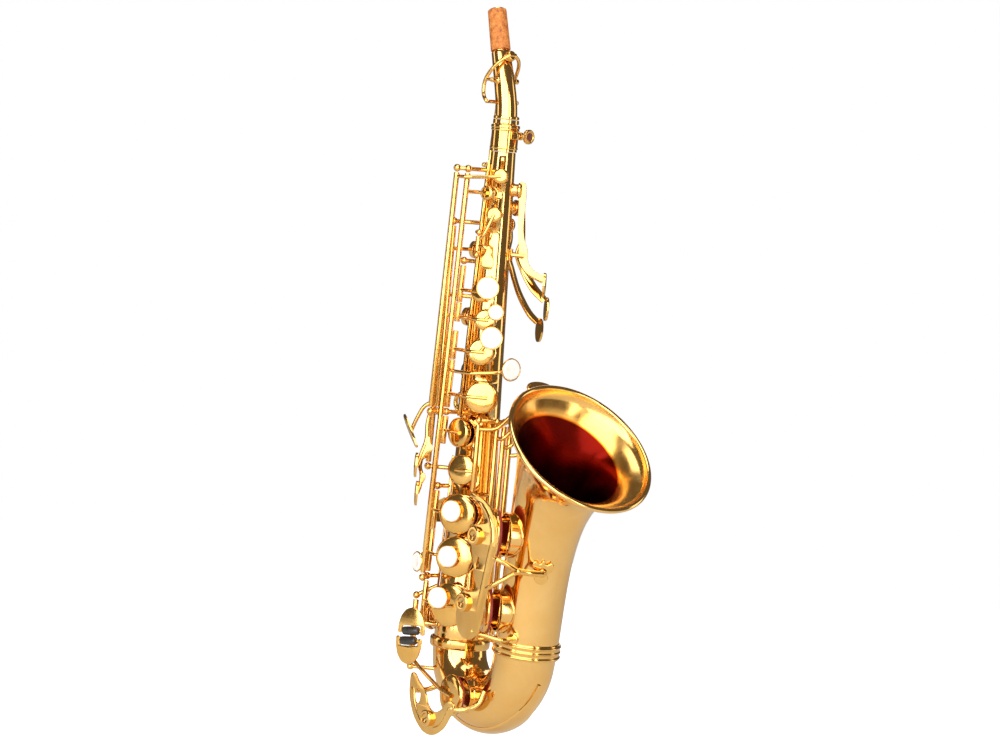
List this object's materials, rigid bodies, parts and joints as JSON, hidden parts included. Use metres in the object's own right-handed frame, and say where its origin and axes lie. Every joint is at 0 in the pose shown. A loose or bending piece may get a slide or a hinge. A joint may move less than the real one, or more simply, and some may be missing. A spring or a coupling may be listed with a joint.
{
  "type": "soprano saxophone",
  "caption": "Curved soprano saxophone in lacquered brass: bow, flared bell, swivelling neck and a full set of sprung, hinged keys.",
  "frame": {"origin": "centre of the neck-strap eye on the back of the body tube", "axes": "+Z along the body tube towards the neck, -Y towards the bell, -X towards the player's right hand side"},
  "size_m": [0.0982, 0.1722, 0.4495],
  "materials": {
    "body_brass": "gold lacquer, polished",
    "key_brass": "gold lacquer, polished",
    "pearl": "mother-of-pearl sheen",
    "cork": "greased cork, matte",
    "felt": "felt",
    "black": "polished black"
  },
  "bodies": {
    "horn": {"bell": "body_brass", "bell_bow_ring": "body_brass", "bell_brace": "key_brass", "bell_key_guard": "key_brass", "body_bow_ring": "body_brass", "body_tube": "body_brass", "bow": "body_brass", "front_posts": "key_brass", "guard_felt_b": "felt", "guard_felt_bb": "felt", "guard_felt_c": "felt", "low_c_guard": "key_brass", "lower_right_posts": "key_brass", "neck_receiver": "body_brass", "octave_post": "key_brass", "palm_key_posts": "key_brass", "strap_ring": "key_brass", "thumb_hook": "key_brass", "thumb_rest": "black", "upper_right_posts": "key_brass"},
    "neck_slider": {"neck_tenon": "body_brass"},
    "neck": {"neck_tube": "body_brass", "neck_cork": "cork"},
    "neck_octave": {"neck_octave_key": "key_brass"},
    "neck_screw": {"neck_screw": "key_brass"},
    "octave_lever": {"octave_lever": "key_brass"},
    "b_key": {"b_key": "key_brass", "b_pearl": "pearl"},
    "bis_key": {"bis_key": "key_brass", "bis_pearl": "pearl"},
    "a_key": {"a_key": "key_brass", "a_pearl": "pearl"},
    "g_key": {"g_key": "key_brass", "g_pearl": "pearl"},
    "fs_key": {"fs_key": "key_brass"},
    "f_key": {"f_key": "key_brass", "f_pearl": "pearl"},
    "e_key": {"e_key": "key_brass", "e_pearl": "pearl"},
    "d_key": {"d_key": "key_brass", "d_pearl": "pearl"},
    "side_e_key": {"side_e_key": "key_brass"},
    "side_c_key": {"side_c_key": "key_brass"},
    "side_bb_key": {"side_bb_key": "key_brass"},
    "high_fs_key": {"high_fs_key": "key_brass", "high_fs_pearl": "pearl"},
    "front_f_key": {"front_f_key": "key_brass"},
    "palm_f_key": {"palm_f_key": "key_brass"},
    "palm_eb_key": {"palm_eb_key": "key_brass"},
    "palm_d_key": {"palm_d_key": "key_brass"},
    "g_sharp_key": {"g_sharp_key": "key_brass"},
    "low_cs_key": {"low_cs_key": "key_brass"},
    "low_b_key": {"low_b_key": "key_brass"},
    "low_bb_key": {"low_bb_key": "key_brass"},
    "eb_key": {"eb_key": "key_brass"},
    "low_c_key": {"low_c_key": "key_brass"},
    "body_octave_key": {"body_octave_key": "key_brass"},
    "eb_roller": {"eb_roller": "black"},
    "low_c_roller": {"low_c_roller": "black"}
  },
  "joints": [
    {"name": "neck_slide", "type": "slide", "parent": "horn", "child": "neck_slider", "axis": [0, 0, 1], "range_m": [0, 0.014]},
    {"name": "neck_swivel", "type": "hinge", "parent": "neck_slider", "child": "neck", "pos_m": [0, -0.02136, 0.1792], "axis": [0, 0, 1], "range_deg": [-30, 30]},
    {"name": "neck_octave", "type": "hinge", "parent": "neck", "child": "neck_octave", "pos_m": [0, -0.01616, 0.203], "axis": [1, 0, 0], "range_deg": [0, 6], "stiffness_Nm_per_rad": 0.05, "springref_deg": -8.59},
    {"name": "neck_screw", "type": "hinge", "parent": "horn", "child": "neck_screw", "pos_m": [0.00194, -0.03239, 0.1696], "axis": [0.9848, 0.1736, 0], "range_deg": [-180, 180]},
    {"name": "octave_lever", "type": "hinge", "parent": "horn", "child": "octave_lever", "pos_m": [0, -0.00824, 0.15], "axis": [-1, 0, 0], "range_deg": [0, 2], "stiffness_Nm_per_rad": 0.25, "springref_deg": -5.73},
    {"name": "b_key", "type": "hinge", "parent": "horn", "child": "b_key", "pos_m": [-0.01844, -0.01465, 0.0756], "axis": [0.0278, -0.0101, 0.9996], "range_deg": [0, 10.43], "stiffness_Nm_per_rad": 0.06, "springref_deg": -11.46},
    {"name": "bis_key", "type": "hinge", "parent": "horn", "child": "bis_key", "pos_m": [-0.01893, -0.01447, 0.0579], "axis": [0.0278, -0.0101, 0.9996], "range_deg": [0, 8.34], "stiffness_Nm_per_rad": 0.06, "springref_deg": -11.46},
    {"name": "a_key", "type": "hinge", "parent": "horn", "child": "a_key", "pos_m": [-0.0195, -0.01426, 0.03735], "axis": [0.0278, -0.0101, 0.9996], "range_deg": [0, 8.35], "stiffness_Nm_per_rad": 0.06, "springref_deg": -11.46},
    {"name": "g_key", "type": "hinge", "parent": "horn", "child": "g_key", "pos_m": [-0.02017, -0.01402, 0.0132], "axis": [0.0278, -0.0101, 0.9996], "range_deg": [0, 7.2], "stiffness_Nm_per_rad": 0.06, "springref_deg": -11.46},
    {"name": "fs_key", "type": "hinge", "parent": "horn", "child": "fs_key", "pos_m": [-0.02099, -0.01372, -0.01595], "axis": [0.0278, -0.0101, 0.9996], "range_deg": [0, 12.39], "stiffness_Nm_per_rad": 0.06, "springref_deg": -11.46},
    {"name": "f_key", "type": "hinge", "parent": "horn", "child": "f_key", "pos_m": [-0.02238, -0.01322, -0.06595], "axis": [0.0278, -0.0101, 0.9996], "range_deg": [0, 8.94], "stiffness_Nm_per_rad": 0.06, "springref_deg": -11.46},
    {"name": "e_key", "type": "hinge", "parent": "horn", "child": "e_key", "pos_m": [-0.02309, -0.01296, -0.0916], "axis": [0.0278, -0.0101, 0.9996], "range_deg": [0, 8.25], "stiffness_Nm_per_rad": 0.06, "springref_deg": -11.46},
    {"name": "d_key", "type": "hinge", "parent": "horn", "child": "d_key", "pos_m": [-0.02395, -0.01264, -0.1226], "axis": [0.0278, -0.0101, 0.9996], "range_deg": [0, 8.19], "stiffness_Nm_per_rad": 0.06, "springref_deg": -11.46},
    {"name": "side_e_key", "type": "hinge", "parent": "horn", "child": "side_e_key", "pos_m": [-0.03225, -0.01586, 0.07125], "axis": [-0.0178, 0.0132, -0.9998], "range_deg": [0, 5.41], "stiffness_Nm_per_rad": 0.12, "springref_deg": -11.46},
    {"name": "side_c_key", "type": "hinge", "parent": "horn", "child": "side_c_key", "pos_m": [-0.0265, -0.01236, 0.05475], "axis": [0, 0, 1], "range_deg": [0, 7.03], "stiffness_Nm_per_rad": 0.12, "springref_deg": -11.46},
    {"name": "side_bb_key", "type": "hinge", "parent": "horn", "child": "side_bb_key", "pos_m": [-0.02365, -0.00426, 0.014], "axis": [-0.0028, -0.0167, 0.9999], "range_deg": [0, 8.15], "stiffness_Nm_per_rad": 0.06, "springref_deg": -11.46},
    {"name": "high_fs_key", "type": "hinge", "parent": "horn", "child": "high_fs_key", "pos_m": [-0.02775, -0.01886, 0.0195], "axis": [-0.0216, 0.0118, -0.9997], "range_deg": [0, 9.76], "stiffness_Nm_per_rad": 0.12, "springref_deg": -11.46},
    {"name": "front_f_key", "type": "hinge", "parent": "horn", "child": "front_f_key", "pos_m": [-0.01703, -0.02624, 0.1015], "axis": [-0.049, -0.014, -0.9987], "range_deg": [0, 14.9], "stiffness_Nm_per_rad": 0.06, "springref_deg": -11.46},
    {"name": "palm_f_key", "type": "hinge", "parent": "horn", "child": "palm_f_key", "pos_m": [0.01311, -0.03236, 0.096], "axis": [0.6428, 0.766, 0], "range_deg": [0, 3.4], "stiffness_Nm_per_rad": 0.06, "springref_deg": -11.46},
    {"name": "palm_eb_key", "type": "hinge", "parent": "horn", "child": "palm_eb_key", "pos_m": [0.01695, -0.02374, 0.096], "axis": [0.1392, 0.9903, 0], "range_deg": [0, 4.66], "stiffness_Nm_per_rad": 0.06, "springref_deg": -11.46},
    {"name": "palm_d_key", "type": "hinge", "parent": "horn", "child": "palm_d_key", "pos_m": [0.01564, -0.0144, 0.096], "axis": [-0.4067, 0.9135, 0], "range_deg": [0, 7.34], "stiffness_Nm_per_rad": 0.06, "springref_deg": -11.46},
    {"name": "g_sharp_key", "type": "hinge", "parent": "horn", "child": "g_sharp_key", "pos_m": [-0.0135, -0.03886, -0.03025], "axis": [0, 0, 1], "range_deg": [0, 9.63], "stiffness_Nm_per_rad": 0.12, "springref_deg": -11.46},
    {"name": "low_cs_key", "type": "hinge", "parent": "horn", "child": "low_cs_key", "pos_m": [0.0075, -0.04386, -0.07505], "axis": [0, 0, -1], "range_deg": [0, 7.2], "stiffness_Nm_per_rad": 0.12, "springref_deg": -11.46},
    {"name": "low_b_key", "type": "hinge", "parent": "horn", "child": "low_b_key", "pos_m": [0.0023, -0.04436, -0.07255], "axis": [0, 0, 1], "range_deg": [0, 5.29], "stiffness_Nm_per_rad": 0.12, "springref_deg": -11.46},
    {"name": "low_bb_key", "type": "hinge", "parent": "horn", "child": "low_bb_key", "pos_m": [-0.003, -0.04386, -0.04955], "axis": [0, 0, 1], "range_deg": [0, 4.97], "stiffness_Nm_per_rad": 0.12, "springref_deg": -11.46},
    {"name": "eb_key", "type": "hinge", "parent": "horn", "child": "eb_key", "pos_m": [-0.025, -0.00536, -0.1333], "axis": [0, 0, 1], "range_deg": [0, 9.66], "stiffness_Nm_per_rad": 0.12, "springref_deg": -11.46},
    {"name": "low_c_key", "type": "hinge", "parent": "horn", "child": "low_c_key", "pos_m": [-0.025, -0.00536, -0.1533], "axis": [0, 0, 1], "range_deg": [0, 4.2], "stiffness_Nm_per_rad": 0.12, "springref_deg": -11.46},
    {"name": "body_octave_key", "type": "hinge", "parent": "horn", "child": "body_octave_key", "pos_m": [0.00774, -0.00795, 0.077], "axis": [-0.866, 0.5, 0], "range_deg": [0, 6.94], "stiffness_Nm_per_rad": 0.06, "springref_deg": -11.46},
    {"name": "eb_roller", "type": "hinge", "parent": "eb_key", "child": "eb_roller", "pos_m": [-0.03445, -0.01599, -0.1418], "axis": [0.4532, -0.8845, 0.1104], "continuous": true},
    {"name": "low_c_roller", "type": "hinge", "parent": "low_c_key", "child": "low_c_roller", "pos_m": [-0.0352, -0.01527, -0.1481], "axis": [0.3872, -0.9154, 0.1104], "continuous": true}
  ],
  "couplings": [
    {"joint": "neck_octave", "follows": "octave_lever", "ratio": 3},
    {"joint": "fs_key", "follows": "f_key", "ratio": 1.3796}
  ]
}
